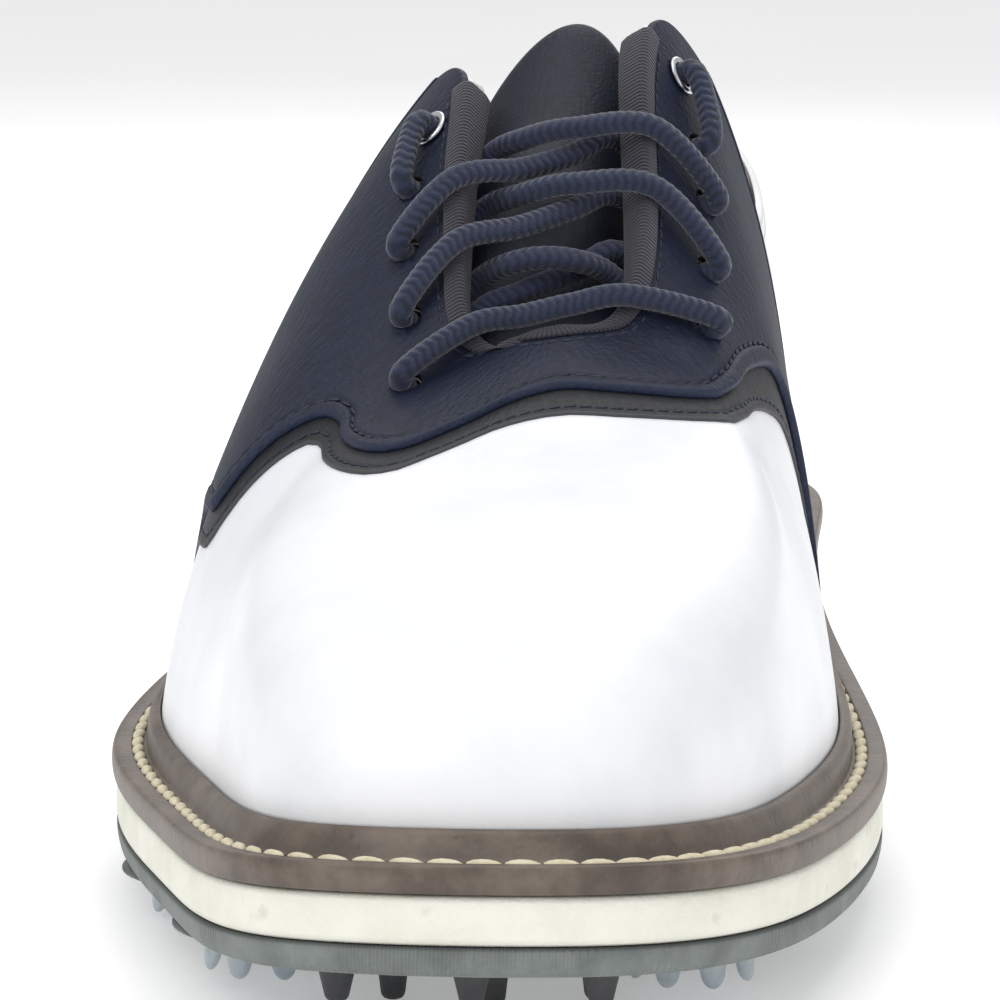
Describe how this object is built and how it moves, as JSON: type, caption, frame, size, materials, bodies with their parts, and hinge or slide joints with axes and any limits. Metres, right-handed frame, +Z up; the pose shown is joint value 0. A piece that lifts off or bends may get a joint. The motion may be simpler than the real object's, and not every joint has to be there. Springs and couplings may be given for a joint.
{
  "type": "golf shoe",
  "caption": "Right lace-up golf shoe: white plain-toe vamp and quarters, navy saddle, stitched welt, two-layer sole with moulded studs and twist-lock soft cleats.",
  "frame": {"origin": "on the ground under the middle of the shoe's outline", "axes": "+Z up, toe towards -Y, heel towards +Y, inner side of the foot towards +X"},
  "size_m": [0.1174, 0.3015, 0.1271],
  "materials": {
    "outsole_rubber": "matt, lightly textured",
    "stud_rubber": "matt black",
    "cleat_plastic": "translucent, semi-gloss",
    "socket_plastic": "black moulded",
    "midsole_foam": "cream, fine matt texture",
    "cork": "ground cork",
    "spring_steel": "plain steel strip",
    "fibreboard": "pressed board",
    "footbed_fabric": "fine woven cover over foam",
    "welt_leather": "burnished, semi-gloss, brown-grey",
    "stitch_thread": "waxed tan thread",
    "white_leather": "smooth, coated, semi-gloss",
    "lining_leather": "soft matt",
    "stiffener_board": "stiff sheet",
    "foam_padding": "soft foam",
    "grey_leather": "matt, dark grey",
    "navy_leather": "pebble grained, semi-matt navy",
    "binding_tape": "ribbed woven tape",
    "bright_metal": "polished",
    "lace_cord": "round braid, navy",
    "aglet_metal": "plain tube"
  },
  "bodies": {
    "shoe": {"outsole": "outsole_rubber", "toe_studs": "stud_rubber", "forefoot_studs": "stud_rubber", "heel_studs": "stud_rubber", "cleat_sockets": "socket_plastic", "midsole": "midsole_foam", "cork_filler": "cork", "shank": "spring_steel", "insole_board": "fibreboard", "footbed": "footbed_fabric", "welt": "welt_leather", "welt_stitching": "stitch_thread", "vamp": "white_leather", "vamp_lining": "lining_leather", "toe_puff": "stiffener_board", "heel_counter": "stiffener_board", "lateral_quarter": "white_leather", "medial_quarter": "white_leather", "lateral_lining": "lining_leather", "medial_lining": "lining_leather", "lateral_stay": "stiffener_board", "medial_stay": "stiffener_board", "collar_padding": "foam_padding", "collar_lining": "lining_leather", "saddle_underlay": "grey_leather", "saddle": "navy_leather", "back_strip": "navy_leather", "facing_binding": "binding_tape", "top_eyelets": "bright_metal", "side_badge": "bright_metal", "lace": "lace_cord", "lace_end_lateral": "lace_cord", "lace_end_medial": "lace_cord", "aglet_lateral": "aglet_metal", "aglet_medial": "aglet_metal"},
    "cleat_1": {"cleat_1": "cleat_plastic"},
    "cleat_2": {"cleat_2": "cleat_plastic"},
    "cleat_3": {"cleat_3": "cleat_plastic"},
    "cleat_4": {"cleat_4": "cleat_plastic"},
    "cleat_5": {"cleat_5": "cleat_plastic"},
    "cleat_6": {"cleat_6": "cleat_plastic"},
    "cleat_7": {"cleat_7": "cleat_plastic"},
    "cleat_8": {"cleat_8": "cleat_plastic"},
    "cleat_9": {"cleat_9": "cleat_plastic"},
    "tongue": {"tongue": "navy_leather", "tongue_padding": "foam_padding", "tongue_lining": "lining_leather"}
  },
  "joints": [
    {"name": "cleat_1_twist", "type": "hinge", "parent": "shoe", "child": "cleat_1", "pos_m": [-0.0273, -0.1002, 0.007], "axis": [0, 0, 1], "range_deg": [0, 60]},
    {"name": "cleat_2_twist", "type": "hinge", "parent": "shoe", "child": "cleat_2", "pos_m": [0.0317, -0.1002, 0.007], "axis": [0, 0, 1], "range_deg": [0, 60]},
    {"name": "cleat_3_twist", "type": "hinge", "parent": "shoe", "child": "cleat_3", "pos_m": [-0.0403, -0.0622, 0.007], "axis": [0, 0, 1], "range_deg": [0, 60]},
    {"name": "cleat_4_twist", "type": "hinge", "parent": "shoe", "child": "cleat_4", "pos_m": [0.0417, -0.0602, 0.007], "axis": [0, 0, 1], "range_deg": [0, 60]},
    {"name": "cleat_5_twist", "type": "hinge", "parent": "shoe", "child": "cleat_5", "pos_m": [-0.0353, -0.0242, 0.007], "axis": [0, 0, 1], "range_deg": [0, 60]},
    {"name": "cleat_6_twist", "type": "hinge", "parent": "shoe", "child": "cleat_6", "pos_m": [-0.0163, 0.0818, 0.007], "axis": [0, 0, 1], "range_deg": [0, 60]},
    {"name": "cleat_7_twist", "type": "hinge", "parent": "shoe", "child": "cleat_7", "pos_m": [0.0337, 0.0818, 0.007], "axis": [0, 0, 1], "range_deg": [0, 60]},
    {"name": "cleat_8_twist", "type": "hinge", "parent": "shoe", "child": "cleat_8", "pos_m": [-0.0113, 0.1218, 0.007], "axis": [0, 0, 1], "range_deg": [0, 60]},
    {"name": "cleat_9_twist", "type": "hinge", "parent": "shoe", "child": "cleat_9", "pos_m": [0.0287, 0.1218, 0.007], "axis": [0, 0, 1], "range_deg": [0, 60]},
    {"name": "tongue_tilt", "type": "hinge", "parent": "shoe", "child": "tongue", "pos_m": [0.005, -0.05, 0.062], "axis": [-1, 0, 0], "range_deg": [0, 8]}
  ]
}
